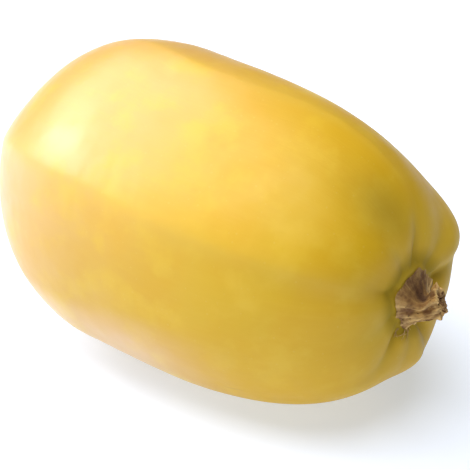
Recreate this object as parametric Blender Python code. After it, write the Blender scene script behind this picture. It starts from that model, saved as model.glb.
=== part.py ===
"""A whole spaghetti squash, lying on its side, with the dried stub of its stem.

Metres, +Z up. The fruit's long axis runs along X, with the stem at +X. The origin is on the
surface that the squash lies on, under the middle of its bounding box.

The fruit is one body of revolution whose outline is a superellipse, blunter at the stem end.
Five main ribs and five lesser ones run from end to end. Near the stem each rib turns into a
crease, and the creases meet in a shallow dimple. The stem stands in that dimple, on a flat seat.
"""

import math

import bmesh
import bpy
import numpy as np
from mathutils import Matrix, Vector

# The fruit's main sizes.
FRUIT_LENGTH = 0.214
FRUIT_DIAMETER = 0.139
WIDEST_FROM_MIDDLE = 0.0265  # towards the blossom end
STEM_END_BLUNTNESS = 2.70  # superellipse exponents: 2 is an ellipse, more is blunter
BLOSSOM_END_BLUNTNESS = 2.06

# The ribs, which are ridges along the body and creases at the stem.
RIB_COUNT = 5
FIRST_RIB_ANGLE = math.radians(150.5)  # about the long axis, from +Y towards +Z
RIB_TWIST = math.radians(2.0)  # how far the ribs turn between the middle and either end
RIB_CROWDING = math.radians(2.5)  # how far they crowd in pairs at the stem
RIB_DRIFT = math.radians(2.5)  # and towards one side
RIB_HEIGHT = 0.0011
RIB_NARROWNESS = 6.0
FACET_DEPTH = 0.0009  # how far the skin between two main ribs is flattened
LESSER_RIB_HEIGHT = 0.0003
CREASE_DEPTH = 0.0058
LESSER_CREASE_DEPTH = 0.0022
CREASE_REACH = 0.034  # distance from the axis over which a crease dies away
CREASE_HALF_WIDTH = math.radians(8.5)

# The dimple that the stem stands in, and the scar where the flower was.
DIMPLE_DEPTH = 0.0055
DIMPLE_REACH = 0.023
SEAT_RADIUS = 0.0165
SEAT_BLEND = 0.0035
SCAR_DEPTH = 0.0016
SCAR_REACH = 0.0075
SCAR_RIM_HEIGHT = 0.0006
SCAR_RIM_RADIUS = 0.0055

# How it departs from a true body of revolution, and how it lies.
SWELL_HEIGHT = 0.0007
BOW = (0.0012, 0.0016)  # sideways and upward rise of both ends over the middle
SKEW = (0.044, -0.112)  # how far the stem end leans along, per metre sideways and upward
NOSE_DOWN = math.radians(2.6)  # the stem end dips until the weight is over the contact
FLAT_SPOT_DEPTH = 0.0009  # how much of the underside is pressed flat

# The stem.
STEM_GAP = 0.0003  # clear of the seat
STEM_LENGTH = 0.0128
STEM_LEAN = math.radians(32.0)  # how far its cut end has turned from square to the seat
STEM_LEAN_TOWARDS = math.radians(18.0)  # about the long axis, from +Y towards +Z
STEM_FOOT_RADIUS = 0.0130
STEM_NECK_RADIUS = 0.0040
STEM_END_RADIUS = 0.0054
STEM_TOE_LENGTH = 0.0025  # how far a ridge stands out at the foot
STEM_RIDGE_HEIGHT = 0.0021  # and above the foot
STEM_PITH_DEPTH = 0.0020

# How finely the surfaces are divided. Segments are a multiple of ten, so that ribs meet points.
FRUIT_SEGMENTS = 80
FRUIT_RINGS = 42
RING_CROWDING = 0.62  # share by which rings lie closer at the two ends
STEM_SEGMENTS = 60
STEM_STATIONS = 16


def clear_scene():
    """Remove whatever the startup file holds."""
    for leftover in list(bpy.data.objects):
        bpy.data.objects.remove(leftover)


def finish(name, colour, roughness):
    """A Principled material of one colour."""
    material = bpy.data.materials.new(name)
    material.use_nodes = True
    shader = material.node_tree.nodes["Principled BSDF"]
    shader.inputs["Base Color"].default_value = (*colour, 1.0)
    shader.inputs["Roughness"].default_value = roughness
    shader.inputs["Metallic"].default_value = 0.0
    material.diffuse_color = (*colour, 1.0)
    return material


def smooth_step(value):
    """0 below 0, 1 above 1, and an S-curve between."""
    value = np.clip(value, 0.0, 1.0)
    return value * value * (3.0 - 2.0 * value)


def outline_radius(polar):
    """Distance of the plain outline from the centre of the widest ring, at an angle from the stem axis."""
    towards_stem = np.cos(polar) >= 0.0
    half = np.where(
        towards_stem,
        FRUIT_LENGTH / 2 + WIDEST_FROM_MIDDLE,
        FRUIT_LENGTH / 2 - WIDEST_FROM_MIDDLE,
    )
    power = np.where(towards_stem, STEM_END_BLUNTNESS, BLOSSOM_END_BLUNTNESS)
    along = np.abs(np.cos(polar)) / half
    across = np.sin(polar) / (FRUIT_DIAMETER / 2)
    return (along**power + across**power) ** (-1.0 / power)


def rib_lift(around):
    """How far the ribs lift the skin at mid-body: sharp crests with flattened facets between."""
    phase = RIB_COUNT * around
    main = np.exp(RIB_NARROWNESS * (np.cos(phase) - 1.0))
    lesser = np.exp(RIB_NARROWNESS * (-np.cos(phase) - 1.0))
    return RIB_HEIGHT * main + LESSER_RIB_HEIGHT * lesser + FACET_DEPTH * np.cos(phase)


def rib_wander(polar, around):
    """How far a line that starts as an even share of the turn has wandered at some distance along."""
    uneven = RIB_CROWDING * np.sin(2.0 * around - 0.9) + RIB_DRIFT * np.sin(around)
    return smooth_step(np.cos(polar)) * uneven - RIB_TWIST * np.cos(polar)


def rib_creases(around):
    """(main crease, lesser crease), each a soft V that is 1 at its bottom."""
    spacing = 2.0 * math.pi / RIB_COUNT
    off_main = np.abs((around + spacing / 2) % spacing - spacing / 2)
    off_lesser = spacing / 2 - off_main
    soft = 0.35 * CREASE_HALF_WIDTH

    def valley(off):
        return np.exp((soft - np.sqrt(off**2 + soft**2)) / CREASE_HALF_WIDTH)

    return valley(off_main), valley(off_lesser)


def swelling(polar, around):
    """A slow, uneven swelling, from -1 to 1, that keeps the fruit from looking turned."""
    return (
        0.5 * np.sin(2.0 * around + 0.6) * np.sin(polar) ** 2
        + 0.3 * np.sin(3.0 * around + 4.0 * polar + 1.9) * np.sin(polar)
        + 0.2 * np.cos(around - 3.0 * polar + 0.4) * np.sin(polar)
    )


def fruit_radius(polar, around):
    """Distance of the skin from the centre of the widest ring.

    polar is the angle from the stem axis, and around is the angle about it from the first rib.
    """
    plain = outline_radius(polar)
    off_axis = plain * np.sin(polar)
    stem_side = np.cos(polar) > 0.0
    main_crease, lesser_crease = rib_creases(around)
    main_crease *= 1.0 - 0.3 * np.cos(around)

    creasing = np.exp(-((off_axis / CREASE_REACH) ** 2)) * np.where(stem_side, 1.0, 0.16)
    body = smooth_step((off_axis - 0.3 * FRUIT_DIAMETER / 2) / (0.6 * FRUIT_DIAMETER / 2))
    skin = (
        plain
        + SWELL_HEIGHT * swelling(polar, around)
        + body * rib_lift(around)
        - creasing * (CREASE_DEPTH * main_crease + LESSER_CREASE_DEPTH * lesser_crease)
        - np.where(stem_side, DIMPLE_DEPTH * np.exp(-((off_axis / DIMPLE_REACH) ** 2)), 0.0)
    )

    seat = seat_height() / np.maximum(np.cos(polar), 0.5)
    on_seat = np.where(stem_side, smooth_step((SEAT_RADIUS + SEAT_BLEND - off_axis) / SEAT_BLEND), 0.0)
    skin = skin * (1.0 - on_seat) + seat * on_seat

    hollow = np.exp(-((off_axis / SCAR_REACH) ** 2))
    rim = np.exp(-(((off_axis - SCAR_RIM_RADIUS) / (0.3 * SCAR_RIM_RADIUS)) ** 2))
    return skin + np.where(stem_side, 0.0, SCAR_RIM_HEIGHT * rim - SCAR_DEPTH * hollow)


def seat_height():
    """How far the flat seat lies from the widest ring, along the axis."""
    return FRUIT_LENGTH / 2 + WIDEST_FROM_MIDDLE - DIMPLE_DEPTH


def lie_down():
    """The matrix that puts the fruit's own axes, origin at the widest ring, into its resting tilt."""
    return Matrix.Rotation(NOSE_DOWN, 4, "Y")


def fruit_skin(polar, around):
    """Points of the skin about the widest ring's centre, before the fruit is laid down."""
    radius = fruit_radius(polar, around)
    along = radius * np.cos(polar)
    across = radius * np.sin(polar)
    turn = FIRST_RIB_ANGLE + around + rib_wander(polar, around)
    sideways = across * np.cos(turn)
    upward = across * np.sin(turn)
    stemward = smooth_step(along / (FRUIT_LENGTH / 2))
    bowed = (along / (FRUIT_LENGTH / 2)) ** 2
    return np.stack(
        [
            along + stemward * (SKEW[0] * sideways + SKEW[1] * upward),
            sideways + BOW[0] * bowed,
            upward + BOW[1] * bowed,
        ],
        axis=1,
    )


def make_fruit():
    """The fruit, from a UV sphere whose points are moved out to the skin."""
    bm = bmesh.new()
    bmesh.ops.create_uvsphere(
        bm, u_segments=FRUIT_SEGMENTS, v_segments=FRUIT_RINGS, radius=1.0
    )
    points = np.array([vertex.co for vertex in bm.verts])
    around = np.arctan2(points[:, 1], points[:, 0])
    share = np.arccos(np.clip(points[:, 2], -1.0, 1.0)) / math.pi
    # Rings lie closer together at the two ends, where the creases and the scar are.
    crowded = share - RING_CROWDING * np.sin(2.0 * math.pi * share) / (2.0 * math.pi)
    skin = fruit_skin(math.pi * crowded, around)
    for vertex, place in zip(bm.verts, skin):
        vertex.co = place
    bmesh.ops.transform(bm, matrix=lie_down(), verts=bm.verts)
    bmesh.ops.recalc_face_normals(bm, faces=bm.faces)

    # The underside is pressed flat where it lies.
    floor = min(vertex.co.z for vertex in bm.verts) + FLAT_SPOT_DEPTH
    cut = bmesh.ops.bisect_plane(
        bm,
        geom=[*bm.verts, *bm.edges, *bm.faces],
        plane_co=Vector((0.0, 0.0, floor)),
        plane_no=Vector((0.0, 0.0, -1.0)),
        clear_outer=True,
    )
    rim = [part for part in cut["geom_cut"] if isinstance(part, bmesh.types.BMEdge)]
    bmesh.ops.contextual_create(bm, geom=rim)
    bmesh.ops.recalc_face_normals(bm, faces=bm.faces)
    return as_object("fruit", bm), floor


def stem_line(station):
    """(centre, direction) of the stem at a share of its length, along an arc that leans over."""
    lean = STEM_LEAN * station
    side = Vector((0.0, math.cos(STEM_LEAN_TOWARDS), math.sin(STEM_LEAN_TOWARDS)))
    bend_radius = STEM_LENGTH / STEM_LEAN
    centre = Vector((bend_radius * math.sin(lean), 0.0, 0.0))
    centre += side * bend_radius * (1.0 - math.cos(lean))
    direction = Vector((math.cos(lean), 0.0, 0.0)) + side * math.sin(lean)
    return centre, direction


def stem_radius(station, around):
    """The stem's radius at a share of its length, with five ridges that run out into toes at the foot."""
    foot = (1.0 - np.minimum(station / 0.62, 1.0)) ** 2.4
    flare = smooth_step((station - 0.45) / 0.55)
    core = STEM_NECK_RADIUS + (STEM_FOOT_RADIUS - STEM_NECK_RADIUS) * foot
    core = core + (STEM_END_RADIUS - STEM_NECK_RADIUS) * flare
    ridge = np.exp(2.2 * (np.cos(RIB_COUNT * around) - 1.0))
    lesser = np.exp(4.0 * (-np.cos(RIB_COUNT * around) - 1.0))
    height = STEM_RIDGE_HEIGHT + (STEM_TOE_LENGTH - STEM_RIDGE_HEIGHT) * foot
    return core + height * ridge + 0.3 * STEM_RIDGE_HEIGHT * lesser


def stem_ring(station, shrink=1.0, sunk=0.0):
    """One ring of points about the stem's line, shrunk towards it and sunk below the cut."""
    centre, direction = stem_line(station)
    first = Vector((0.0, math.cos(FIRST_RIB_ANGLE), math.sin(FIRST_RIB_ANGLE)))
    first = (first - direction * first.dot(direction)).normalized()
    second = direction.cross(first)
    shares = np.arange(STEM_SEGMENTS) * (2.0 * math.pi / STEM_SEGMENTS)
    radii = stem_radius(station, shares) * shrink
    angles = shares + rib_wander(0.0, shares)
    return [
        centre - direction * sunk + first * (radius * math.cos(angle)) + second * (radius * math.sin(angle))
        for radius, angle in zip(radii, angles)
    ]


def make_stem():
    """The stem: rings joined from the foot to the cut, whose pith has shrunk to a hollow."""
    rings = [stem_ring(station) for station in np.linspace(0.0, 1.0, STEM_STATIONS)]
    rings.append(stem_ring(1.0, 0.86, -0.0004))
    rings.append(stem_ring(1.0, 0.62, 0.2 * STEM_PITH_DEPTH))
    rings.append(stem_ring(1.0, 0.34, STEM_PITH_DEPTH))

    bm = bmesh.new()
    loops = [[bm.verts.new(place) for place in ring] for ring in rings]
    for lower, upper in zip(loops, loops[1:]):
        for index in range(STEM_SEGMENTS):
            after = (index + 1) % STEM_SEGMENTS
            bm.faces.new((lower[index], lower[after], upper[after], upper[index]))
    bm.faces.new(reversed(loops[0]))
    bm.faces.new(loops[-1])
    bmesh.ops.recalc_face_normals(bm, faces=bm.faces)

    bow = (seat_height() / (FRUIT_LENGTH / 2)) ** 2
    square_to_seat = Vector((1.0, -SKEW[0], -SKEW[1])).normalized()
    seat_centre = Vector((seat_height(), BOW[0] * bow, BOW[1] * bow)) + square_to_seat * STEM_GAP
    upright = Vector((1.0, 0.0, 0.0)).rotation_difference(square_to_seat).to_matrix().to_4x4()
    bmesh.ops.transform(
        bm, matrix=lie_down() @ Matrix.Translation(seat_centre) @ upright, verts=bm.verts
    )
    return as_object("stem", bm)


def as_object(name, bm):
    """Link a finished bmesh to the scene as one smooth-shaded object."""
    mesh = bpy.data.meshes.new(name)
    bm.to_mesh(mesh)
    bm.free()
    mesh.shade_smooth()
    mesh.set_sharp_from_angle(angle=math.radians(50.0))
    made = bpy.data.objects.new(name, mesh)
    bpy.context.scene.collection.objects.link(made)
    return made


def centre_on_origin(parts, floor):
    """Move the parts so that the origin lies on the floor under the middle of their box."""
    corners = np.array([vertex.co for part in parts for vertex in part.data.vertices])
    middle = (corners.min(axis=0) + corners.max(axis=0)) / 2
    for part in parts:
        part.data.transform(Matrix.Translation((-middle[0], -middle[1], -floor)))


def main():
    """Build the squash."""
    clear_scene()
    fruit, floor = make_fruit()
    fruit.data.materials.append(finish("rind", (0.80, 0.52, 0.10), 0.38))
    stem = make_stem()
    stem.data.materials.append(finish("dry_stem", (0.32, 0.21, 0.11), 0.85))
    centre_on_origin([fruit, stem], floor)


main()
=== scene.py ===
"""Looks for a whole spaghetti squash, lying on its side with its dried stem stub.

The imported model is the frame. Its two nodes, the fruit and the stem, are each replaced by a finer
surface in the same place. It follows the formulas of the source, with a few forms moved a little to
suit the photo. Everything is in metres, +Z up, with the fruit's long axis along X and its stem at +X.
"""

from __future__ import annotations

import logging
import math
from dataclasses import dataclass, field
from enum import Enum
from math import radians

import bpy
import numpy as np
from mathutils import Matrix, Vector


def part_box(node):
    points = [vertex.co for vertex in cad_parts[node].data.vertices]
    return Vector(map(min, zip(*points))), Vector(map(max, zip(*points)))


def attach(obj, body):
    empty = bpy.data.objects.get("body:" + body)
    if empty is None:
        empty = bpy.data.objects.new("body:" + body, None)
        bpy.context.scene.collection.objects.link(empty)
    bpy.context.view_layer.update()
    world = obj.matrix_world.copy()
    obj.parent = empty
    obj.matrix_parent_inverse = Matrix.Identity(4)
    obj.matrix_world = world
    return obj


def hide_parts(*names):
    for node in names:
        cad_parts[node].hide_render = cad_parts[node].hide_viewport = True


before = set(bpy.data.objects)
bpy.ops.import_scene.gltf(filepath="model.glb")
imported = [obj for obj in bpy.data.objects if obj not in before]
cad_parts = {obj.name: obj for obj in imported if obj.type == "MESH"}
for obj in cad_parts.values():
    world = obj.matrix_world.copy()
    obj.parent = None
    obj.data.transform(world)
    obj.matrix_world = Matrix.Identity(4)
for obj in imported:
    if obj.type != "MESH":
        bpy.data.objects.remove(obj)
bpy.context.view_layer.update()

LOG = logging.getLogger("squash")
BODY = "root"
FULL_TURN = 2.0 * math.pi

Colour = tuple[float, float, float]
Array = np.ndarray
Node = bpy.types.Node
Socket = bpy.types.NodeSocket


class Layer(Enum):
    """Names of the mesh attributes that the materials read."""

    FLOW = "flow"
    # Green tint near the stem, with painted shade in the creases, over the hollow above the stem and
    # round the stem's foot
    CREASE = "crease"
    # Painted highlight along the crests of the rind's ribs and of the stem's folds
    PAINTED_CREST_HIGHLIGHT = "ridge"
    SCAR = "scar"
    GROUND = "ground"
    # Painted highlight at the top of the blossom end, and painted light from the floor along the lower
    # side
    PAINTED_HIGHLIGHT_AND_BOUNCE = "painted_highlight_and_bounce"
    # Painted shade in the stem's scooped hollow
    PAINTED_HOLLOW_SHADE = "hollow"
    CUT = "cut"


class Slot(Enum):
    """Material slots."""

    RIND = "rind"
    DRY_STEM = "dry_stem"


# Arithmetic that several surfaces share


def srgb(red: int, green_tint_and_shade: int, blue: int) -> Colour:
    """Linear colour of a screen colour given as three numbers from 0 to 255."""
    screen = np.array([red, green_tint_and_shade, blue]) / 255.0
    linear = np.where(screen <= 0.04045, screen / 12.92, ((screen + 0.055) / 1.055) ** 2.4)
    return tuple(float(part) for part in linear)


def smooth_step(value: Array | float) -> Array:
    """0 below 0, 1 above 1, and an S-curve between: 3v² - 2v³."""
    value = np.clip(value, 0.0, 1.0)
    return value * value * (3.0 - 2.0 * value)


def hump(value: Array | float, centre: float, width: float) -> Array:
    """A bell that is 1 at the centre: e to the minus square of the distance in widths."""
    return np.exp(-(((value - centre) / width) ** 2))


def ripple(points: Array, wavelength: float, seed: int, waves: int = 30) -> Array:
    """Smooth noise of unit spread: a sum of plane waves in random directions.

    Args:
        points: Places, with the three coordinates on the last axis.
        wavelength: Typical distance from crest to crest, in metres.
        seed: Picks the directions, lengths and phases.
        waves: How many waves are added.

    Returns:
        The noise at each place.
    """
    chance = np.random.default_rng(seed)
    direction = chance.normal(size=(3, waves))
    direction /= np.linalg.norm(direction, axis=0)
    length = wavelength * chance.uniform(0.7, 1.4, waves)
    phase = chance.uniform(0.0, FULL_TURN, waves)
    return np.cos(points @ (direction * FULL_TURN / length) + phase).sum(axis=-1) * math.sqrt(
        2.0 / waves
    )


def angle_gap(angle: Array, other: Array | float) -> Array:
    """Unsigned difference of two angles, from 0 to half a turn."""
    return np.abs((angle - other + math.pi) % FULL_TURN - math.pi)


def side_hump(angle: Array, middle: float, spread: float) -> Array:
    """A bell round the axis, 1 at the middle angle."""
    return hump(angle_gap(angle, middle), 0.0, spread)


def soft_crest(gap: Array, width: Array | float, rounding: float = 0.35) -> Array:
    """A crest that is 1 on its line and falls off as e to the minus distance in widths.

    Args:
        gap: Distance from its line.
        width: Its half width.
        rounding: How round its top is, as a share of the width.

    Returns:
        The height at each place.
    """
    soft = rounding * width
    return np.exp((soft - np.sqrt(gap**2 + soft**2)) / width)


def valleys(around: Array, angles: Array, widths: Array) -> Array:
    """The deepest of several soft V-shaped valleys at given angles."""
    return soft_crest(angle_gap(around[..., None], angles), widths).max(axis=-1)


def xyz(first: Array, second: Array, third: Array) -> Array:
    """Three arrays of coordinates as one, with the coordinates on the last axis."""
    return np.stack(np.broadcast_arrays(first, second, third), axis=-1)


def faces_between(index: Array) -> Array:
    """Four-sided faces between neighbouring rings, from the numbers of their points.

    Args:
        index: Numbers of the points, with rings on the last axis but one and points on the last.

    Returns:
        Four numbers for each face.
    """
    after = np.roll(index, -1, axis=-1)
    corners = [index[..., :-1, :], after[..., :-1, :], after[..., 1:, :], index[..., 1:, :]]
    return np.stack(corners, axis=-1).reshape(-1, 4)


def unit(vectors: Array) -> Array:
    """Each vector scaled to length 1."""
    return vectors / np.linalg.norm(vectors, axis=-1, keepdims=True)


def put_in_scene(name: str, content: bpy.types.ID) -> bpy.types.Object:
    """An object with this mesh, light or camera, in the scene."""
    made = bpy.data.objects.new(name, content)
    bpy.context.scene.collection.objects.link(made)
    return made


def add_layer(mesh: bpy.types.Mesh, layer: Layer, values: Array) -> None:
    """Add an attribute of the mesh's points: a vector if there are three values to a point."""
    vector = values.ndim == 2 and values.shape[1] == 3
    made = mesh.attributes.new(layer.value, "FLOAT_VECTOR" if vector else "FLOAT", "POINT")
    made.data.foreach_set("vector" if vector else "value", values.astype(np.float32).ravel())


@dataclass
class Surface:
    """A closed surface made of rings of points, with a value of each attribute at each point.

    Attributes:
        name: Name of the object.
        rings: Points, as rings by points round a ring by coordinates.
        first: The point that closes the first ring.
        last: The point that closes the last ring.
        layers: Attribute values by name, shaped as the rings are.
    """

    name: str
    rings: Array
    first: Array
    last: Array
    layers: dict[Layer, Array] = field(default_factory=dict)

    def faces(self) -> list[list[int]]:
        """Four-sided faces between neighbouring rings, and a fan of triangles at each end."""
        rows, columns = self.rings.shape[:2]
        index = np.arange(rows * columns).reshape(rows, columns)
        after = np.roll(index, -1, axis=1)
        first, last = rows * columns, rows * columns + 1
        start = np.stack([np.full(columns, first), after[0], index[0]], axis=-1)
        end = np.stack([np.full(columns, last), index[-1], after[-1]], axis=-1)
        return faces_between(index).tolist() + start.tolist() + end.tolist()

    def closed_layer(self, values: Array) -> Array:
        """Values at all points, with each end point taking the mean of its ring."""
        flat = values.reshape(values.shape[0] * values.shape[1], -1)
        return np.concatenate(
            [flat, values[0].mean(axis=0).reshape(1, -1), values[-1].mean(axis=0).reshape(1, -1)]
        )

    def build(self) -> bpy.types.Object:
        """Make the object, with its faces pointing outwards and its attributes filled in."""
        points = np.concatenate([self.rings.reshape(-1, 3), [self.first], [self.last]])
        faces = self.faces()
        quads = np.array(faces[: -2 * self.rings.shape[1]])
        corner = points[quads]
        normal = np.cross(corner[:, 2] - corner[:, 0], corner[:, 3] - corner[:, 1])
        outward = np.einsum("ij,ij->", normal, corner.mean(axis=1) - points.mean(axis=0))
        if outward < 0.0:
            faces = [face[::-1] for face in faces]
        mesh = bpy.data.meshes.new(self.name)
        mesh.from_pydata(points.tolist(), [], faces)
        for layer, values in self.layers.items():
            add_layer(mesh, layer, self.closed_layer(values))
        mesh.shade_smooth()
        mesh.update()
        return put_in_scene(self.name, mesh)


# The fruit


@dataclass(frozen=True)
class Swell:
    """A soft bulge or hollow of the rind near the stem.

    Attributes:
        name: What it is.
        height: How far it stands out. A hollow is below zero.
        angle: Where it lies round the axis, in degrees from the first rib.
        spread: Its half width round the axis, in degrees.
        off_axis: Its distance from the axis.
        reach: Its half width outwards.
    """

    name: str
    height: float
    angle: float
    spread: float
    off_axis: float
    reach: float

    def lift(self, around: Array, off_axis: Array) -> Array:
        """Its height at each place: a bell round the axis times a bell outwards."""
        sideways = side_hump(around, radians(self.angle), radians(self.spread))
        return self.height * sideways * hump(off_axis, self.off_axis, self.reach)


@dataclass
class Fruit:
    """The squash itself, with its creases, its dimple and its blossom scar.

    The first group of sizes has the names of the part's source. A few of the values are moved a
    little to suit the photo. The second group is form and relief that only the scene has. Angles
    round the axis are counted from the first rib.
    """

    length: float = 0.214
    diameter: float = 0.1383
    widest_from_middle: float = 0.0265
    stem_end_bluntness: float = 2.70
    blossom_end_bluntness: float = 2.06
    rib_count: int = 5
    first_rib_angle: float = radians(150.0)
    rib_twist: float = radians(-1.5)
    rib_crowding: float = radians(3.2)
    crowding_phase: float = 0.9
    rib_height: float = 0.0016
    rib_half_width: float = radians(9.0)
    facet_depth: float = 0.0014
    lesser_rib_height: float = 0.0003
    crease_depth: float = 0.0068
    lesser_crease_depth: float = 0.0027
    crease_reach: float = 0.034
    crease_half_width: float = radians(11.5)
    dimple_depth: float = 0.0055
    dimple_reach: float = 0.023
    seat_radius: float = 0.0120
    seat_blend: float = 0.0026
    step_at_foot: float = 0.0009
    slope_at_foot: float = 0.42
    scar_depth: float = 0.0016
    scar_reach: float = 0.0075
    scar_rim_height: float = 0.0006
    scar_rim_radius: float = 0.0055
    swell_height: float = 0.0007
    bow: tuple[float, float] = (0.0012, 0.0016)
    skew: tuple[float, float] = (0.044, -0.112)
    nose_down: float = radians(2.6)
    flat_spot_depth: float = 0.0009

    rib_drift: float = radians(8.0)
    drift_phase: float = 0.54
    upper_rib_shift: float = radians(12.0)
    upper_rib_spread: float = 0.62
    foot_zone: float = 0.028
    foot_rounding: float = 0.0005
    underside_draw: float = 0.0023
    underside_angle: float = radians(92.0)
    underside_spread: float = radians(26.0)
    first_rib_gain: float = 0.9
    blossom_rib_loss: float = 0.45
    lump_height: float = 0.00006
    lump_spacing: float = 0.030
    dent_height: float = 0.00002
    dent_spacing: float = 0.009
    pucker_count: int = 19
    pucker_depth: float = 0.00012
    pucker_off_axis: float = 0.017
    pucker_reach: float = 0.008
    fine_crease_depth: float = 0.0002
    fine_crease_half_width: float = radians(3.2)
    fine_crease_reach: float = 0.016
    smooth_hollow: Swell = Swell("hollow above the stem", -0.0014, -50.0, 16.0, 0.039, 0.012)
    swells: tuple[Swell, ...] = (
        Swell("upper lobe", 0.0041, -129.0, 15.0, 0.041, 0.017),
        Swell("lower lobe", 0.0023, 134.0, 18.0, 0.036, 0.018),
        Swell("flat below the stem", -0.0006, 172.0, 15.0, 0.036, 0.016),
        smooth_hollow,
        Swell("groove by the first rib", -0.0011, 8.0, 6.0, 0.043, 0.019),
    )
    green_reach: float = 0.030
    # Ring of painted contact shadow round the stem's foot
    foot_shadow_ring_off_axis: float = 0.015
    foot_shadow_ring_reach: float = 0.006
    ground_height: float = 0.018
    ground_fade: float = 0.016
    rings: int = 236
    segments: int = 400
    ring_crowding: float = 0.62
    seed: int = 7

    shift: Array = field(default_factory=lambda: np.zeros(3))

    @property
    def half_length(self) -> float:
        """Half the plain length."""
        return self.length / 2.0

    @property
    def seat_height(self) -> float:
        """How far the stem's flat seat lies from the widest ring, along the axis."""
        return self.half_length + self.widest_from_middle - self.dimple_depth

    def outline_radius(self, polar: Array) -> Array:
        """Distance of the plain outline from the widest ring's centre: a superellipse each way."""
        towards_stem = np.cos(polar) >= 0.0
        half = self.half_length + np.where(towards_stem, 1.0, -1.0) * self.widest_from_middle
        power = np.where(towards_stem, self.stem_end_bluntness, self.blossom_end_bluntness)
        along = np.abs(np.cos(polar)) / half
        across = np.sin(polar) / (self.diameter / 2.0)
        return (along**power + across**power) ** (-1.0 / power)

    def off_rib(self, around: Array) -> Array:
        """Distance round the axis from the nearest main rib."""
        spacing = FULL_TURN / self.rib_count
        return np.abs((around + spacing / 2) % spacing - spacing / 2)

    def rib_lift(self, around: Array) -> Array:
        """How far the ribs lift the skin at mid-body: sharp crests with flattened facets between."""
        phase = self.rib_count * around
        main = soft_crest(self.off_rib(around), self.rib_half_width, 0.2)
        lesser = np.exp(-6.0 * (np.cos(phase) + 1.0))
        crests = self.rib_height * main + self.lesser_rib_height * lesser
        return crests + self.facet_depth * np.cos(phase)

    def rib_wander(self, polar: Array | float, around: Array) -> Array:
        """How far a rib has wandered round the axis from its even place.

        The stem's half is uneven: its ribs crowd by a sine of twice the angle and drift by a sine of
        the angle. The upper rib lies further round at mid-body, and all ribs twist slowly.

        Args:
            polar: Angle from the stem axis.
            around: Even angle about the axis from the first rib.

        Returns:
            The angle to add.
        """
        uneven = self.rib_crowding * np.sin(2.0 * around - self.crowding_phase)
        uneven = uneven + self.rib_drift * np.sin(around + self.drift_phase)
        stemward = smooth_step(np.cos(polar))
        upper = side_hump(around, -FULL_TURN / self.rib_count, self.upper_rib_spread)
        upper = self.upper_rib_shift * upper
        upper = upper * smooth_step(0.9 * np.cos(polar) + 0.75)
        upper = upper * (1.0 - smooth_step(2.0 * np.cos(polar) - 1.0))
        return stemward * uneven + upper - self.rib_twist * np.cos(polar)

    def rib_creases(self, around: Array) -> tuple[Array, Array]:
        """Main and lesser creases, each a soft V that is 1 at its bottom."""
        off_main = self.off_rib(around)
        off_lesser = FULL_TURN / self.rib_count / 2 - off_main
        main = soft_crest(off_main, self.crease_half_width)
        lesser = soft_crest(off_lesser, self.crease_half_width)
        return main * (1.0 - 0.3 * np.cos(around)), lesser

    def swelling(self, polar: Array, around: Array) -> Array:
        """A slow, uneven swelling, from -1 to 1, that keeps the fruit from looking turned."""
        return (
            0.5 * np.sin(2.0 * around + 0.6) * np.sin(polar) ** 2
            + 0.3 * np.sin(3.0 * around + 4.0 * polar + 1.9) * np.sin(polar)
            + 0.2 * np.cos(around - 3.0 * polar + 0.4) * np.sin(polar)
        )

    def relief(self, polar: Array, around: Array, off_axis: Array) -> Array:
        """Finer form than the source holds.

        Slow lumps and dents all over are sums of plane waves. Near the stem there are soft lobes and
        hollows, puckers are narrow valleys at random angles, and each main crease has a thin line at
        its bottom.

        Args:
            polar: Angle from the stem axis at the widest ring's centre.
            around: Angle about the axis from the first rib.
            off_axis: Distance from the axis.

        Returns:
            How far the skin moves outwards.
        """
        chance = np.random.default_rng(self.seed)
        across = self.diameter / 2.0 * np.sin(polar)
        along = 1.5 * self.diameter / 2.0 * np.cos(polar)
        ball = xyz(along, across * np.cos(around), across * np.sin(around))
        lumps = self.lump_height * ripple(ball, self.lump_spacing, self.seed)
        lumps += self.dent_height * ripple(ball, self.dent_spacing, self.seed + 1)

        angles = chance.uniform(-math.pi, math.pi, self.pucker_count)
        widths = np.radians(chance.uniform(3.0, 6.0, self.pucker_count))
        near = hump(off_axis, self.pucker_off_axis, self.pucker_reach)
        puckers = self.pucker_depth * near * valleys(around, angles, widths)

        mains = np.arange(self.rib_count) * FULL_TURN / self.rib_count
        line = valleys(around, mains, np.full(self.rib_count, self.fine_crease_half_width))
        line = line * hump(off_axis, self.fine_crease_reach, self.fine_crease_reach)
        swells = sum(swell.lift(around, off_axis) for swell in self.swells)
        near_stem = swells - puckers - self.fine_crease_depth * line
        return lumps + (np.cos(polar) > 0.0) * near_stem

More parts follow.
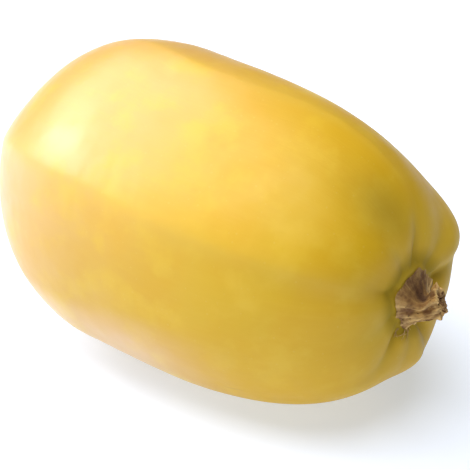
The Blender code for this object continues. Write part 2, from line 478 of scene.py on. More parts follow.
    def radius(self, polar: Array, around: Array) -> Array:
        """Distance of the skin from the widest ring's centre, at two angles.

        The ribs, creases, dimple and relief add up on the plain outline. Creases are full at the
        stem, with a trace of them at the blossom end. The ribs are weaker at the blossom end, but for
        the first, which is also stronger by the stem. Round the stem's foot the skin stays above a
        short slope, as a soft maximum of the two, and then meets the flat seat.

        Args:
            polar: Angle from the stem axis.
            around: Angle about the axis from the first rib.

        Returns:
            The distance at each pair of angles.
        """
        plain = self.outline_radius(polar)
        off_axis = plain * np.sin(polar)
        stem_side = np.cos(polar) > 0.0
        main_crease, lesser_crease = self.rib_creases(around)
        creasing = hump(off_axis, 0.0, self.crease_reach) * np.where(stem_side, 1.0, 0.16)
        half_width = self.diameter / 2.0
        body = smooth_step((off_axis - 0.3 * half_width) / (0.6 * half_width))
        blossomward = smooth_step(-1.6 * np.cos(polar)) * (1.0 - hump(around, 0.0, 0.6))
        first = hump(around, 0.0, 0.35) * hump(np.cos(polar), 0.62, 0.38)
        share = 1.0 - self.blossom_rib_loss * blossomward + self.first_rib_gain * first
        drawn = self.underside_draw * hump(around, self.underside_angle, self.underside_spread)
        skin = (
            plain
            + self.swell_height * self.swelling(polar, around)
            + body * share * self.rib_lift(around)
            - drawn * np.sin(polar) ** 6
            - creasing * (self.crease_depth * main_crease + self.lesser_crease_depth * lesser_crease)
            - stem_side * self.dimple_depth * hump(off_axis, 0.0, self.dimple_reach)
            + self.relief(polar, around, off_axis)
        )
        seat = self.seat_height / np.maximum(np.cos(polar), 0.5)
        lowest = seat - self.step_at_foot - self.slope_at_foot * (off_axis - self.seat_radius)
        lifted = skin + lowest + np.sqrt((skin - lowest) ** 2 + self.foot_rounding**2)
        skin = np.where(stem_side & (off_axis < self.foot_zone), lifted / 2.0, skin)
        blend = (self.seat_radius + self.seat_blend - off_axis) / self.seat_blend
        on_seat = stem_side * smooth_step(blend)
        skin = skin * (1.0 - on_seat) + seat * on_seat
        rim = hump(off_axis, self.scar_rim_radius, 0.3 * self.scar_rim_radius)
        hollow = hump(off_axis, 0.0, self.scar_reach)
        scar = self.scar_rim_height * rim - self.scar_depth * hollow
        return skin + ~stem_side * scar

    def lie_down(self, points: Array) -> Array:
        """Turn points from the fruit's own axes into its resting tilt, and move them into place."""
        turn = np.array(Matrix.Rotation(self.nose_down, 3, "Y"))
        return points @ turn.T + self.shift

    def skin(self, polar: Array, around: Array) -> Array:
        """Points of the skin, lying down and in place but for the flat spot."""
        radius = self.radius(polar, around)
        along = radius * np.cos(polar)
        across = radius * np.sin(polar)
        turn = self.first_rib_angle + around + self.rib_wander(polar, around)
        sideways = across * np.cos(turn)
        upward = across * np.sin(turn)
        stemward = smooth_step(along / self.half_length)
        bowed = (along / self.half_length) ** 2
        own = xyz(
            along + stemward * (self.skew[0] * sideways + self.skew[1] * upward),
            sideways + self.bow[0] * bowed,
            upward + self.bow[1] * bowed,
        )
        return self.lie_down(own)

    def settle(self) -> None:
        """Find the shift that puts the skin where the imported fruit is."""
        self.shift = np.zeros(3)
        polar, around = self.angles()
        points = self.skin(polar, around).reshape(-1, 3)
        low, high = points.min(axis=0), points.max(axis=0)
        cad_low, cad_high = (np.array(corner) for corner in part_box("fruit"))
        self.shift = (cad_low + cad_high - low - high) / 2.0
        self.shift[2] = cad_low[2] - low[2] - self.flat_spot_depth

    def angles(self) -> tuple[Array, Array]:
        """Both angles on the grid of rings and segments, with rings closer at the two ends."""
        share = (np.arange(self.rings) + 1.0) / (self.rings + 1.0)
        crowded = share - self.ring_crowding * np.sin(FULL_TURN * share) / FULL_TURN
        around = (np.arange(self.segments) / self.segments - 0.5) * FULL_TURN
        return np.meshgrid(math.pi * crowded, around, indexing="ij")

    def layers(self, polar: Array, around: Array, points: Array) -> dict[Layer, Array]:
        """What the rind's material reads at each point.

        Args:
            polar: Angle from the stem axis.
            around: Angle about the axis from the first rib.
            points: The points in place.

        Returns:
            FLOW runs slowly along the fruit and quickly round it, so that noise on it makes
            streaks. The others are masks from 0 to 1, some of them painted highlight and shade.
        """
        off_axis = self.outline_radius(polar) * np.sin(polar)
        main, lesser = self.rib_creases(around)
        stem_side = np.cos(polar) > 0.0
        # Green tint near the stem, darkest at the crease bottoms, where it is painted shade
        green_tint_and_shade = np.clip(0.25 + 0.8 * main**2 + 0.35 * lesser**2, 0.0, 1.0)
        green_tint_and_shade = green_tint_and_shade * hump(off_axis, 0.0, self.green_reach)
        # Painted contact shadow: a dark ring where the stem's foot meets the rind
        foot_shadow_ring = hump(off_axis, self.foot_shadow_ring_off_axis, self.foot_shadow_ring_reach)
        # Painted shade: the hollow above the stem is darkened, in the shape of its dent
        patch = self.smooth_hollow.lift(around, off_axis) / self.smooth_hollow.height
        # One mask of green tint and painted shade near the stem
        crease = stem_side * np.maximum(np.maximum(green_tint_and_shade, foot_shadow_ring), 0.75 * patch)
        half_width = self.diameter / 2.0
        ring = half_width * np.cos(around), half_width * np.sin(around)
        flow = xyz(*ring, 0.10 * points[..., 0])
        # Painted highlight: a paler line along each rib's crest
        crest = np.exp(14.0 * (np.cos(self.rib_count * around) - 1.0))
        ground = smooth_step((self.ground_height - points[..., 2]) / self.ground_fade)
        scar = ~stem_side * hump(off_axis, 0.0, self.scar_rim_radius)
        along = points[..., 0] / self.half_length
        height = points[..., 2] / self.diameter
        # Painted highlight: paler and bluer towards the blossom end and towards the top
        painted_highlight_and_bounce = smooth_step(0.33 - 0.62 * along + 0.40 * (height - 0.5))
        # Painted light from the floor: paler along the lower side
        low = smooth_step((0.46 - height) / 0.24) * smooth_step((0.55 - along) / 0.6)
        painted_highlight_and_bounce = np.maximum(painted_highlight_and_bounce, low)
        return {
            Layer.FLOW: flow,
            Layer.CREASE: crease,
            Layer.PAINTED_CREST_HIGHLIGHT: crest * smooth_step((off_axis - 0.4 * half_width) / (0.4 * half_width)),
            Layer.GROUND: ground,
            Layer.PAINTED_HIGHLIGHT_AND_BOUNCE: painted_highlight_and_bounce,
            Layer.SCAR: scar,
        }

    def build(self) -> bpy.types.Object:
        """Make the fruit's mesh, pressed flat where it lies."""
        polar, around = self.angles()
        points = self.skin(polar, around)
        points[..., 2] = np.maximum(points[..., 2], 0.0)
        ends = self.skin(np.array([0.0, math.pi]), np.array([0.0, 0.0]))
        layers = self.layers(polar, around, points)
        return Surface("squash_rind", points, ends[0], ends[1], layers).build()


# The stem


@dataclass
class Stem:
    """The dried stub of the stem: a corky foot, a ridged neck and a torn cut end.

    Its line is an arc that leaves the seat square, leans over and sags. The first group of sizes has
    the names of the part's source, with a thicker, shorter neck to suit the photo.
    """

    fruit: Fruit
    gap: float = 0.0003
    length: float = 0.0120
    lean: float = radians(32.0)
    lean_towards: float = radians(18.0)
    foot_radius: float = 0.0122
    neck_radius: float = 0.0050
    end_radius: float = 0.0058
    toe_length: float = 0.0022
    ridge_height: float = 0.0021
    pith_depth: float = 0.0020
    foot_share: float = 0.62
    flare_start: float = 0.45

    sag: float = 0.0034
    end_drop: float = 0.0010
    scoop_depth: float = 0.0032
    hollow_angle: float = radians(-46.0)
    hollow_spread: float = radians(34.0)
    bare_spread: float = radians(58.0)
    shrunk_spread: float = radians(20.0)
    # Half width, round the stem, of the painted shade in the hollow
    hollow_shade_spread: float = radians(36.0)
    fibre_tube: float = 0.006
    fold_height: float = 0.00062
    fold_spacing: float = 0.0040
    fibre_height: float = 0.00012
    fibre_spacing: float = 0.0011
    knob_height: float = 0.00016
    knob_spacing: float = 0.0030
    ragged_height: float = 0.0002
    ragged_spacing: float = 0.0026
    shrinkage: float = 0.0002
    least_radius: float = 0.0022
    pit_depth: float = 0.0012
    lip_height: float = 0.0007
    crumb_height: float = 0.00018
    crumb_spacing: float = 0.0010
    wave_height: float = 0.0005
    cut_slant: float = radians(10.0)
    cut_faces: float = radians(-6.0)
    rings: int = 130
    cut_rings: int = 46
    segments: int = 300
    seed: int = 21

    def frame(self) -> tuple[Array, Array]:
        """The seat's centre and the turn from the stem's axes to the fruit's own axes."""
        fruit = self.fruit
        bow = (fruit.seat_height / fruit.half_length) ** 2
        square = Vector((1.0, -fruit.skew[0], -fruit.skew[1])).normalized()
        centre = Vector((fruit.seat_height, fruit.bow[0] * bow, fruit.bow[1] * bow))
        turn = Vector((1.0, 0.0, 0.0)).rotation_difference(square).to_matrix()
        return np.array(centre + square * self.gap), np.array(turn)

    def line(self, station: Array) -> tuple[Array, Array]:
        """Centre and direction at shares of the length, on an arc of even bend."""
        lean = self.lean * station[..., None]
        side = np.array([0.0, math.cos(self.lean_towards), math.sin(self.lean_towards)])
        ahead = np.array([1.0, 0.0, 0.0])
        bend_radius = self.length / self.lean
        centre = bend_radius * (np.sin(lean) * ahead + (1.0 - np.cos(lean)) * side)
        sag = self.sag * hump(station, 0.42, 0.34) + self.end_drop * station
        centre = centre - sag[..., None] * np.array([0.0, 0.0, 1.0])
        return centre, np.cos(lean) * ahead + np.sin(lean) * side

    def foot(self, station: Array, power: float) -> Array:
        """1 at the seat, falling to 0 where the foot ends."""
        return (1.0 - np.minimum(station / self.foot_share, 1.0)) ** power

    def flare(self, station: Array) -> Array:
        """0 where the flare begins, rising to 1 at the cut end."""
        return smooth_step((station - self.flare_start) / (1.0 - self.flare_start))

    def plain_radius(self, station: Array, around: Array) -> Array:
        """The source's radius: a foot and a flare on a neck, with five ridges and lesser ones."""
        foot = self.foot(station, 2.4)
        core = self.neck_radius + (self.foot_radius - self.neck_radius) * foot
        core = core + (self.end_radius - self.neck_radius) * self.flare(station)
        phase = self.fruit.rib_count * around
        ridge = np.exp(2.2 * (np.cos(phase) - 1.0))
        lesser = np.exp(4.0 * (-np.cos(phase) - 1.0))
        height = self.ridge_height + (self.toe_length - self.ridge_height) * foot
        return core + height * ridge + 0.3 * self.ridge_height * lesser

    def radius(self, station: Array, around: Array) -> Array:
        """The radius with what drying has done to it.

        A scooped hollow lies on one side, and the ridge that would cross it has shrunk. Folds and
        fibres run along the stem: they are noise on a narrow tube stretched along it, with each
        fold a sharp crest, one minus twice the size of the noise. Knobs are plain noise.

        Args:
            station: Share of the length.
            around: Angle about the stem's line, from the first rib.

        Returns:
            The distance from the line.
        """
        plain = self.plain_radius(station, around)
        foot = self.foot(station, 1.4)
        scoop = side_hump(around, self.hollow_angle, self.hollow_spread) * hump(station, 0.30, 0.30)
        shrunk = side_hump(around, -FULL_TURN / self.fruit.rib_count, self.shrunk_spread)
        along, cosine, sine = station * self.length, np.cos(around), np.sin(around)
        tube = xyz(0.22 * along, self.fibre_tube * cosine, self.fibre_tube * sine)
        place = xyz(along, plain * cosine, plain * sine)
        folds = 1.0 - 2.0 * np.abs(ripple(tube, self.fold_spacing, self.seed))
        fibres = ripple(tube, self.fibre_spacing, self.seed + 5)
        knobs = ripple(place, self.knob_spacing, self.seed + 1)
        knobs = knobs + 0.6 * ripple(place, 0.4 * self.knob_spacing, self.seed + 2)
        rim = smooth_step((station - 0.80) / 0.20)
        ragged = rim * self.ragged_height * ripple(place, self.ragged_spacing, self.seed + 6)
        bare = side_hump(around, self.hollow_angle, self.bare_spread)
        smooth = 1.0 - 0.92 * bare * smooth_step((0.80 - station) / 0.25)
        grown = (
            plain
            - self.scoop_depth * scoop
            - 0.6 * self.ridge_height * shrunk * hump(station, 0.35, 0.40)
            + self.fold_height * folds * smooth * (0.7 + 0.5 * foot)
            + self.fibre_height * fibres * smooth
            + self.knob_height * knobs * (0.5 + 0.5 * foot * smooth)
            + ragged
        )
        return np.maximum(grown - self.shrinkage, self.least_radius)

    def slant(self, station: Array, around: Array, radius: Array) -> Array:
        """How far the slanted cut shortens the stem on the side that it faces."""
        facing = np.cos(around - self.cut_faces) * self.flare(station)
        return math.tan(self.cut_slant) * radius * facing

    def cut_face(self, inward: Array, around: Array) -> tuple[Array, Array]:
        """The torn end.

        Args:
            inward: 0 at the rim and 1 at the middle.
            around: Angle about the stem's line.

        Returns:
            How far the end has sunk, and how dark its pits are, from 0 to 1. The rim is a raised
            lip, the pith a hollow, and pits are where noise passes a threshold.
        """
        spread = (1.0 - inward) * self.end_radius
        place = xyz(0.0003 * inward, spread * np.cos(around), spread * np.sin(around))
        coarse = ripple(place, self.knob_spacing, self.seed + 3)
        fine = ripple(place, self.crumb_spacing, self.seed + 4)
        inside = smooth_step(inward / 0.16)
        pits = smooth_step((coarse + 0.4 * fine - 0.1) / 0.8) * inside
        lip = hump(inward, 0.16, 0.12)
        pith = smooth_step((inward - 0.45) / 0.4)
        sunk = (
            self.pit_depth * pits
            + 0.6 * self.pith_depth * pith
            - self.lip_height * lip
            + self.crumb_height * fine * inside
            - self.wave_height * inside * (1.0 - pith) * np.sin(3.0 * around + 0.7)
        )
        dark = np.clip(0.7 * pits + 0.25 * pith, 0.0, 1.0)
        return sunk, dark

    def in_place(
        self, station: Array, around: Array, radius: Array, sunk: Array | float
    ) -> Array:
        """Points at a radius about the stem's line, sunk along it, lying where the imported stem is."""
        fruit = self.fruit
        centre, direction = self.line(station)
        first = np.array([0.0, math.cos(fruit.first_rib_angle), math.sin(fruit.first_rib_angle)])
        first = unit(first - direction * (direction @ first)[..., None])
        second = np.cross(direction, first)
        turn = (around + fruit.rib_wander(0.0, around))[..., None]
        spread = radius[..., None] * (first * np.cos(turn) + second * np.sin(turn))
        own = centre - direction * np.asarray(sunk)[..., None] + spread
        seat, upright = self.frame()
        return fruit.lie_down(own @ upright.T + seat)

    def build(self) -> bpy.types.Object:
        """Make the stem's mesh: its side from foot to rim, then the torn end to its middle."""
        around = (np.arange(self.segments) / self.segments) * FULL_TURN
        station = np.linspace(0.0, 1.0, self.rings) ** 1.15
        along, turn = np.meshgrid(station, around, indexing="ij")
        side_radius = self.radius(along, turn)
        side = self.in_place(along, turn, side_radius, self.slant(along, turn, side_radius))

        inward = (np.arange(self.cut_rings) + 1.0) / (self.cut_rings + 1.0)
        depth, face_turn = np.meshgrid(inward, around, indexing="ij")
        sunk, dark = self.cut_face(depth, face_turn)
        face_radius = side_radius[-1][None, :] * (1.0 - depth)
        at_end = np.ones_like(depth)
        sunk = sunk + self.slant(at_end, face_turn, face_radius)
        face = self.in_place(at_end, face_turn, face_radius, sunk)

        ridge = side_radius - self.plain_radius(along, turn)
        # Painted shade: the scooped hollow on the stem's side is darkened
        scoop = side_hump(turn, self.hollow_angle - 0.10, self.hollow_shade_spread)
        hollow = np.clip(1.25 * scoop * hump(along, 0.36, 0.28), 0.0, 1.0)
        tube, drawn_out = self.fibre_tube, 0.16 * self.length
        flow_side = xyz(tube * np.cos(turn), tube * np.sin(turn), along * drawn_out)
        tube = tube * (1.0 - depth)
        flow_face = xyz(tube * np.cos(face_turn), tube * np.sin(face_turn), drawn_out + sunk)
        # Painted light: paler where the side stands out from its plain radius and darker in the
        # grooves; the torn end is paler at its rim and darker towards its middle
        crest = smooth_step(0.45 + ridge / 0.0015)
        flat = np.zeros_like(depth)
        layers = {
            Layer.FLOW: np.concatenate([flow_side, flow_face]),
            Layer.PAINTED_HOLLOW_SHADE: np.concatenate([hollow, flat]),
            Layer.PAINTED_CREST_HIGHLIGHT: np.concatenate([crest, 0.8 * (1.0 - depth)]),
            Layer.CUT: np.concatenate([np.zeros_like(along), dark]),
        }
        none = np.zeros(1)
        root = self.in_place(none, none, none, none)[0]
        middle = self.in_place(np.ones(1), none, none, none + sunk[-1].mean())[0]
        return Surface("stem_stub", np.concatenate([side, face]), root, middle, layers).build()


@dataclass
class FootScraps:
    """Dry shreds of skin and fibre that curl away from the stem's foot onto the rind.

    Each shred is a thin tapering tube along a short path on the rind, lifted a little clear of it.
    """

    fruit: Fruit
    count: int = 9
    sides: int = 6
    stations: int = 12
    seed: int = 5

    def build(self) -> bpy.types.Object:
        """Make all shreds as one mesh, worked out together as arrays."""
        chance = np.random.default_rng(self.seed)
        clusters = np.radians([82.0, 88.0, 95.0])
        start = clusters[chance.integers(0, len(clusters), self.count)]
        start = start + np.radians(chance.normal(0.0, 7.0, self.count))
        sweep = np.radians(chance.normal(0.0, 9.0, self.count))
        reach = chance.uniform(0.0012, 0.0052, self.count)
        thickness = chance.uniform(0.00008, 0.00022, self.count)
        lift = chance.uniform(0.00015, 0.0008, self.count)
        curl = chance.uniform(0.5, 2.5, self.count)

        share = np.linspace(0.0, 1.0, self.stations)
        off_axis = 0.0150 + reach[:, None] * share
        around = start[:, None] + sweep[:, None] * share**2
        polar = np.arctan2(off_axis, self.fruit.seat_height)
        path = self.fruit.skin(polar, around)
        inner = self.fruit.skin(polar - 0.004, around)
        side = self.fruit.skin(polar, around + 0.01) - path
        normal = unit(np.cross(inner - path, side))
        if normal[..., 0].mean() < 0.0:
            normal = -normal
        height = lift[:, None] * np.sin(share * curl[:, None]) + thickness[:, None] * 0.6
        path = path + normal * height[..., None]

        along = unit(np.gradient(path, axis=1))
        across = unit(np.cross(along, normal))
        upward = np.cross(across, along)
        taper = thickness[:, None] * (1.0 - share) ** 0.6 * 0.9 + 0.00002
        turn = np.arange(self.sides) / self.sides * FULL_TURN
        ring = (
            across[:, :, None] * np.cos(turn)[:, None] * 2.0
            + upward[:, :, None] * np.sin(turn)[:, None] * 0.8
        )
        points = path[:, :, None] + ring * taper[:, :, None, None]

        index = np.arange(points[..., 0].size).reshape(points.shape[:3])
        ends = index[:, 0, ::-1].tolist() + index[:, -1].tolist()
        corners = points.reshape(-1, 3)
        mesh = bpy.data.meshes.new("stem_scraps")
        mesh.from_pydata(corners.tolist(), [], faces_between(index).tolist() + ends)
        add_layer(mesh, Layer.FLOW, 0.6 * corners)
        # The shreds get 0.7 of the painted crest highlight, so they are pale all over
        for layer, value in ((Layer.PAINTED_CREST_HIGHLIGHT, 0.7), (Layer.PAINTED_HOLLOW_SHADE, 0.0), (Layer.CUT, 0.05)):
            add_layer(mesh, layer, np.full(len(corners), value))
        mesh.shade_smooth()
        return put_in_scene("stem_scraps", mesh)


# Finishes


class Graph:
    """A node tree, with short ways to add nodes and join them."""

    def __init__(self, tree: bpy.types.NodeTree) -> None:
        """Keep the tree."""
        self.tree = tree

    def add(self, kind: str, settings: dict | None = None, **inputs: object) -> Node:
        """Add a node, and fill or join its inputs.

        Args:
            kind: Node type without its prefix.
            settings: Properties of the node itself.
            inputs: A value or an output for each input, with spaces in its name as underscores.

        Returns:
            The node.
        """
        node = self.tree.nodes.new("ShaderNode" + kind)
        for name, value in (settings or {}).items():
            setattr(node, name, value)
        self.fill(node, inputs)
        return node

    def fill(self, node: Node, inputs: dict[str, object]) -> None:
        """Fill or join inputs that are named with underscores for spaces."""
        for name, value in inputs.items():
            self.put(node, name.replace("_", " "), value)

    def put(self, node: Node, name: str | int, value: object) -> None:
        """Give one input a value, or join an output to it."""
        socket = node.inputs[name]
        if isinstance(value, Socket):
            self.tree.links.new(value, socket)
            return
        opaque = socket.type == "RGBA" and len(value) == 3
        socket.default_value = (*value, 1.0) if opaque else value

    def layer(self, layer: Layer) -> Socket:
        """The output of a mesh attribute."""
        node = self.add("Attribute", {"attribute_name": layer.value})
        return node.outputs["Vector" if layer is Layer.FLOW else "Fac"]

    def place(self, streaked: bool = False) -> Socket:
        """Object coordinates, or those that draw noise out into streaks along the piece."""
        return self.layer(Layer.FLOW) if streaked else self.add("TexCoord").outputs["Object"]

    def maths(self, operation: str, *values: object) -> Socket:
        """Values combined by an arithmetic operation."""
        node = self.add("Math", {"operation": operation})
        for number, value in enumerate(values):
            self.put(node, number, value)
        return node.outputs[0]

    def scaled(self, value: object, factor: object, offset: object = 0.0) -> Socket:
        """A value times a factor, plus an offset."""
        return self.maths("MULTIPLY_ADD", value, factor, offset)

    def blend(self, share: object, under: object, over: object) -> Socket:
        """Two colours mixed by a share."""
        node = self.add("Mix", {"data_type": "RGBA"})
        for number, value in ((0, share), (6, under), (7, over)):
            self.put(node, number, value)
        return node.outputs[2]

    def span(self, value: object, low: object, high: object) -> Socket:
        """An S-curve from 0 at one value to 1 at another. Either of them may be the smaller."""
        settings = {"interpolation_type": "SMOOTHSTEP"}
        return self.add("MapRange", settings, Value=value, From_Min=low, From_Max=high).outputs[0]

    def group(self, tree: bpy.types.NodeTree, **inputs: object) -> Socket:
        """Place a shader node group, fill its inputs and give its mask."""
        node = self.add("Group", {"node_tree": tree})
        self.fill(node, inputs)
        return node.outputs["Mask"]


class Effects:
    """Shader node groups that more than one finish uses. Each is built once."""

    def __init__(self) -> None:
        """Build the groups."""
        self.mottle = self.make_mottle()
        self.specks = self.make_specks()

    @staticmethod
    def start(name: str, **inputs: float) -> tuple[Graph, Node, Node]:
        """Make an empty group that turns a vector and some numbers into a mask.

        Args:
            name: Name of the group.
            inputs: Starting value of each number.

        Returns:
            The group's graph, its input node and its output node.
        """
        tree = bpy.data.node_groups.new(name, "ShaderNodeTree")
        sockets = tree.interface
        sockets.new_socket("Vector", in_out="INPUT", socket_type="NodeSocketVector")
        for label, value in inputs.items():
            socket = sockets.new_socket(label, in_out="INPUT", socket_type="NodeSocketFloat")
            socket.default_value = value
        sockets.new_socket("Mask", in_out="OUTPUT", socket_type="NodeSocketFloat")
        return Graph(tree), tree.nodes.new("NodeGroupInput"), tree.nodes.new("NodeGroupOutput")

    def make_mottle(self) -> bpy.types.NodeTree:
        """Cloudy variation: noise between two thresholds, from 0 to 1."""
        graph, given, result = self.start("cloudy_mottle", Scale=20.0, Detail=3.0, Low=0.4, High=0.6)
        noise = graph.add("TexNoise", {"noise_dimensions": "3D"}, Roughness=0.55)
        for name in ("Vector", "Scale", "Detail"):
            graph.put(noise, name, given.outputs[name])
        mask = graph.span(noise.outputs["Fac"], given.outputs["Low"], given.outputs["High"])
        graph.put(result, "Mask", mask)
        return graph.tree

    def make_specks(self) -> bpy.types.NodeTree:
        """Scattered dots: cells whose centre is near, thinned out by a random value of each cell."""
        graph, given, result = self.start("scattered_specks", Scale=300.0, Size=0.25, Share=0.3)
        cells = graph.add("TexVoronoi", {"feature": "F1"}, Randomness=1.0)
        for name in ("Vector", "Scale"):
            graph.put(cells, name, given.outputs[name])
        chance = graph.add("SeparateColor", Color=cells.outputs["Color"])
        kept = graph.maths("LESS_THAN", chance.outputs[0], given.outputs["Share"])
        varied = graph.scaled(chance.outputs[1], 0.7, 0.5)
        size = graph.maths("MULTIPLY", given.outputs["Size"], varied)
        outer = graph.maths("MULTIPLY", size, 1.25)
        inner = graph.maths("MULTIPLY", size, 0.55)
        dots = graph.span(cells.outputs["Distance"], outer, inner)
        graph.put(result, "Mask", graph.maths("MULTIPLY", dots, kept))
        return graph.tree


@dataclass(frozen=True)
class Clouds:
    """A mask of cloudy patches, or of streaks along the piece.

    Attributes:
        scale: How many there are to a metre.
        detail: How many octaves of noise.
        low: The noise at which a patch begins.
        high: The noise at which it is full.
        streaked: Whether they are drawn out along the piece.
    """

    scale: float
    detail: float
    low: float
    high: float
    streaked: bool = False

    def mask(self, graph: Graph, effects: Effects) -> Socket:
        """The mask's output."""
        sizes = {"Scale": self.scale, "Detail": self.detail, "Low": self.low, "High": self.high}
        return graph.group(effects.mottle, Vector=graph.place(self.streaked), **sizes)


@dataclass(frozen=True)
class Dots:
    """A mask of scattered dots.

    Attributes:
        scale: How many cells there are to a metre.
        size: Size of a dot, as a share of its cell.
        share: Share of the cells that have one.
        streaked: Whether they are drawn out along the piece.
    """

    scale: float
    size: float
    share: float
    streaked: bool = False

    def mask(self, graph: Graph, effects: Effects) -> Socket:
        """The mask's output."""
        sizes = {"Scale": self.scale, "Size": self.size, "Share": self.share}
        return graph.group(effects.specks, Vector=graph.place(self.streaked), **sizes)


@dataclass(frozen=True)
class Wash:
    """A colour laid over those below it, where a mask lets it through.

    Attributes:
        tone: The colour.
        strength: How much of it is laid on where the mask is full.
        through: The mask, as a layer of the mesh, clouds or dots.
    """

    tone: Colour
    strength: float
    through: Layer | Clouds | Dots

    def over(self, colour: object, graph: Graph, effects: Effects) -> Socket:
        """The colour below, with this one laid over it."""
        painted = isinstance(self.through, Layer)
        mask = graph.layer(self.through) if painted else self.through.mask(graph, effects)
        return graph.blend(graph.maths("MULTIPLY", mask, self.strength), colour, self.tone)


def new_material(name: str, **inputs: object) -> tuple[bpy.types.Material, Graph, Node]:
    """A material with its graph and its Principled shader, whose plain inputs are given."""
    material = bpy.data.materials.new(name)
    material.use_nodes = True
    graph = Graph(material.node_tree)
    shader = material.node_tree.nodes["Principled BSDF"]
    graph.fill(shader, inputs)
    return material, graph, shader


@dataclass(frozen=True)
class RindFinish:
    """The waxy yellow rind. Each wash lies over the one before it."""

    ripe: Colour = srgb(203, 164, 27)
    # Pale cream of the painted highlight and the painted floor bounce
    painted_highlight_and_bounce: Colour = srgb(206, 161, 92)
    golden: Colour = srgb(202, 154, 20)
    lemon: Colour = srgb(211, 174, 48)
    # Paler tone of the painted highlight along the rib crests
    crest: Colour = srgb(206, 174, 80)
    # Dark olive: a green tint near the stem that also paints shade in the creases and hollows
    green_tint_and_shade: Colour = srgb(140, 118, 24)
    scuff: Colour = srgb(180, 138, 64)
    speck: Colour = srgb(210, 182, 88)
    ground: Colour = srgb(208, 184, 114)
    scar: Colour = srgb(150, 104, 52)
    specks: Dots = Dots(420.0, 0.20, 0.22)
    washes: tuple[Wash, ...] = (
        Wash(painted_highlight_and_bounce, 1.0, Layer.PAINTED_HIGHLIGHT_AND_BOUNCE),
        Wash(golden, 0.45, Clouds(22.0, 3.0, 0.36, 0.66)),
        Wash(lemon, 0.65, Clouds(55.0, 4.0, 0.46, 0.72)),
        Wash(lemon, 0.13, Clouds(330.0, 3.0, 0.45, 0.75, streaked=True)),
        Wash(golden, 0.10, Clouds(210.0, 4.0, 0.55, 0.8, streaked=True)),
        # Painted highlight along the rib crests
        Wash(crest, 0.22, Layer.PAINTED_CREST_HIGHLIGHT),
        Wash(speck, 0.24, specks),
        Wash(scuff, 0.6, Dots(150.0, 0.16, 0.05, streaked=True)),
        # Green tint near the stem, with painted shade in its creases and hollows
        Wash(green_tint_and_shade, 0.7, Layer.CREASE),
        Wash(ground, 0.5, Layer.GROUND),
    )
    scar_grain: Clouds = Clouds(500.0, 3.0, 0.3, 0.6)
    wax: Clouds = Clouds(90.0, 4.0, 0.35, 0.7)
    roughness: float = 0.41
    wax_dulling: float = 0.10
    dry_dulling: float = 0.4

    def make(self, effects: Effects) -> bpy.types.Material:
        """Build the material: the washes, then the scar, roughness, a wax coat and bump."""
        material, graph, shader = new_material(
            "rind",
            IOR=1.50,
            Specular_IOR_Level=0.28,
            Coat_IOR=1.70,
            Coat_Roughness=0.40,
            Subsurface_Weight=0.08,
            Subsurface_Radius=(1.0, 0.55, 0.12),
            Subsurface_Scale=0.004,
        )
        colour = self.ripe
        for wash in self.washes:
            colour = wash.over(colour, graph, effects)
        scarred = graph.layer(Layer.SCAR)
        grain = graph.scaled(self.scar_grain.mask(graph, effects), 0.4, 0.6)
        colour = graph.blend(graph.maths("MULTIPLY", scarred, grain), colour, self.scar)
        graph.put(shader, "Base Color", colour)

        wax = self.wax.mask(graph, effects)
        dry = graph.maths("MAXIMUM", scarred, graph.layer(Layer.CREASE))
        rough = graph.scaled(wax, self.wax_dulling, self.roughness)
        graph.put(shader, "Roughness", graph.scaled(dry, self.dry_dulling, rough))
        graph.put(shader, "Coat Weight", graph.maths("POWER", graph.layer(Layer.PAINTED_HIGHLIGHT_AND_BOUNCE), 2.0))

        peel = graph.add("TexNoise", Vector=graph.place(), Scale=240.0, Detail=3.0)
        pores = graph.add("TexNoise", Vector=graph.place(streaked=True), Scale=700.0, Detail=2.0)
        height = graph.scaled(pores.outputs["Fac"], 0.5, peel.outputs["Fac"])
        height = graph.scaled(self.specks.mask(graph, effects), 0.25, height)
        bump = graph.add("Bump", Strength=0.16, Distance=0.0004, Height=height)
        graph.put(shader, "Normal", bump.outputs["Normal"])
        return material


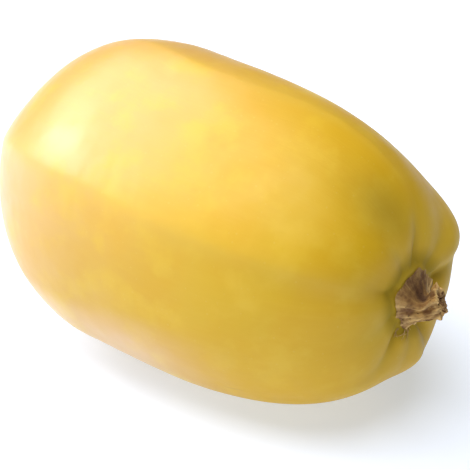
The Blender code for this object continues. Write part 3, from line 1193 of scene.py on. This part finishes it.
@dataclass(frozen=True)
class StemFinish:
    """Dry, corky, fibrous stem. Each wash lies over the one before it."""

    tan: Colour = srgb(182, 142, 80)
    # Pale tan, used for real pale fibres and for the painted highlight on the stem's folds
    light: Colour = srgb(236, 198, 128)
    shade: Colour = srgb(112, 76, 40)
    # Dark brown of the painted shade in the stem's scooped hollow
    dark: Colour = srgb(94, 66, 44)
    plum: Colour = srgb(126, 88, 66)
    pit: Colour = srgb(104, 44, 22)
    grit: Colour = srgb(66, 42, 22)
    fibres: Clouds = Clouds(1400.0, 4.0, 0.4, 0.65, streaked=True)
    grains: Dots = Dots(900.0, 0.3, 0.22)
    washes: tuple[Wash, ...] = (
        Wash(shade, 1.0, Clouds(180.0, 4.0, 0.4, 0.65)),
        # Painted highlight on the raised folds, which leaves the grooves as painted shade
        Wash(light, 0.85, Layer.PAINTED_CREST_HIGHLIGHT),
        Wash(plum, 0.5, Clouds(120.0, 2.0, 0.52, 0.7)),
        Wash(shade, 0.45, fibres),
        Wash(light, 0.35, Clouds(900.0, 5.0, 0.56, 0.74, streaked=True)),
        # Painted shade in the scooped hollow
        Wash(dark, 0.95, Layer.PAINTED_HOLLOW_SHADE),
        Wash(pit, 1.0, Layer.CUT),
        Wash(grit, 0.7, grains),
    )
    roughness: float = 0.78
    fibre_dulling: float = 0.15

    def make(self, effects: Effects) -> bpy.types.Material:
        """Build the material: the washes, then roughness, and bump of strands, cork and grit."""
        material, graph, shader = new_material("dry_stem", Specular_IOR_Level=0.3)
        colour = self.tan
        for wash in self.washes:
            colour = wash.over(colour, graph, effects)
        graph.put(shader, "Base Color", colour)
        fibres = self.fibres.mask(graph, effects)
        graph.put(shader, "Roughness", graph.scaled(fibres, self.fibre_dulling, self.roughness))

        strands = graph.add("TexNoise", Vector=graph.place(streaked=True), Scale=1700.0, Detail=5.0)
        cork = graph.add("TexNoise", Vector=graph.place(), Scale=1300.0, Detail=4.0)
        height = graph.scaled(cork.outputs["Fac"], 0.8, strands.outputs["Fac"])
        height = graph.scaled(self.grains.mask(graph, effects), -0.5, height)
        bump = graph.add("Bump", Strength=0.7, Distance=0.0006, Height=height)
        graph.put(shader, "Normal", bump.outputs["Normal"])
        return material


# The studio


@dataclass(frozen=True)
class Softbox:
    """A round area light that faces the squash.

    Attributes:
        name: Name of the light.
        azimuth: Where it stands, in degrees from +X towards +Y.
        elevation: How high it stands, in degrees.
        distance: How far away.
        size: Its diameter.
        power: Its power.
        colour: Its colour.
    """

    name: str
    azimuth: float
    elevation: float
    distance: float
    size: float
    power: float
    colour: Colour = (1.0, 1.0, 1.0)

    def direction(self) -> Vector:
        """Direction from the squash to the light."""
        turn, rise = radians(self.azimuth), radians(self.elevation)
        return Vector(
            (math.cos(rise) * math.cos(turn), math.cos(rise) * math.sin(turn), math.sin(rise))
        )


@dataclass
class Studio:
    """White floor, soft lights and the camera at the photograph's angle."""

    azimuth: float = radians(37.5)
    elevation: float = radians(29.6)
    distance: float = 0.84
    focal_pixels: float = 1916.5
    frame_pixels: float = 470.0
    aim_height: float = 0.07
    aim_right: float = 0.0022
    aim_up: float = -0.0081
    floor_half: float = 6.0
    floor_colour: Colour = (0.52, 0.56, 0.66)
    floor_glow: float = 0.51
    glow_colour: Colour = (0.90, 0.95, 1.0)
    sky: float = 0.02
    softboxes: tuple[Softbox, ...] = (
        Softbox("key", 206.0, 37.0, 1.3, 0.6, 8.6),
        Softbox("window", 173.0, 50.0, 1.4, 1.3, 12.0),
        Softbox("low left", 217.0, 10.0, 1.4, 2.0, 11.2),
        Softbox("front fill", 264.0, 5.0, 1.4, 1.6, 7.3),
        Softbox("stem side", 335.0, 12.0, 1.4, 0.9, 1.1),
        Softbox("overhead", 285.0, 78.0, 1.4, 1.2, 19.2),
    )

    def make_camera(self) -> None:
        """Put the camera where the photograph was taken from."""
        level = math.pi / 2.0 - self.elevation
        turn = Matrix.Rotation(self.azimuth, 3, "Z") @ Matrix.Rotation(level, 3, "X")
        right, upward, back = turn.transposed()
        aim = Vector((0.0, 0.0, self.aim_height)) + right * self.aim_right + upward * self.aim_up
        camera = bpy.data.cameras.new("camera")
        camera.sensor_width = 36.0
        camera.lens = self.focal_pixels * camera.sensor_width / self.frame_pixels
        placed = put_in_scene("camera", camera)
        placed.matrix_world = Matrix.Translation(aim + back * self.distance) @ turn.to_4x4()
        bpy.context.scene.camera = placed

    def make_lights(self) -> None:
        """Set up the softboxes and an even white sky."""
        target = Vector((0.0, 0.0, self.aim_height))
        for box in self.softboxes:
            light = bpy.data.lights.new(box.name, "AREA")
            light.shape = "DISK"
            light.size = box.size
            light.energy = box.power
            light.color = box.colour
            placed = put_in_scene(box.name, light)
            direction = box.direction()
            placed.location = target + direction * box.distance
            placed.rotation_euler = direction.to_track_quat("Z", "Y").to_euler()
        world = bpy.data.worlds.new("studio")
        world.use_nodes = True
        background = world.node_tree.nodes["Background"]
        background.inputs["Color"].default_value = (1.0, 1.0, 1.0, 1.0)
        background.inputs["Strength"].default_value = self.sky
        bpy.context.scene.world = world

    def make_floor(self) -> None:
        """Lay the plain white floor."""
        half = self.floor_half
        mesh = bpy.data.meshes.new("floor")
        corners = [(-half, -half, 0.0), (half, -half, 0.0), (half, half, 0.0), (-half, half, 0.0)]
        mesh.from_pydata(corners, [], [(0, 1, 2, 3)])
        floor = put_in_scene("floor", mesh)
        material, _, _ = new_material(
            "floor_white",
            Base_Color=self.floor_colour,
            Roughness=0.7,
            Specular_IOR_Level=0.2,
            Emission_Color=self.glow_colour,
            Emission_Strength=self.floor_glow,
        )
        mesh.materials.append(material)

    def set_up(self) -> None:
        """Make the floor, the lights and the camera."""
        self.make_floor()
        self.make_lights()
        self.make_camera()
        bpy.context.scene.view_settings.view_transform = "Standard"


def dress(piece: bpy.types.Object, material: bpy.types.Material, slot: Slot, *nodes: str) -> None:
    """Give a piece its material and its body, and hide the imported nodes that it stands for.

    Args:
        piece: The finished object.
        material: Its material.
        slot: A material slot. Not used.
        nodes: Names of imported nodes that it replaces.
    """
    piece.data.materials.append(material)
    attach(piece, BODY)
    if nodes:
        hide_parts(*nodes)
    triangles = sum(len(face.vertices) - 2 for face in piece.data.polygons)
    LOG.info("%s: %d triangles", piece.name, triangles)


def write_sizes() -> None:
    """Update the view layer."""
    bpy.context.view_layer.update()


def main() -> None:
    """Build and dress the squash, then the studio round it."""
    logging.basicConfig(level=logging.INFO, format="%(name)s: %(message)s")
    effects = Effects()
    rind = RindFinish().make(effects)
    dry_stem = StemFinish().make(effects)

    fruit = Fruit()
    fruit.settle()
    dress(fruit.build(), rind, Slot.RIND, "fruit")
    dress(Stem(fruit).build(), dry_stem, Slot.DRY_STEM, "stem")
    dress(FootScraps(fruit).build(), dry_stem, Slot.DRY_STEM)

    Studio().set_up()
    write_sizes()


if __name__ == "__main__":
    main()
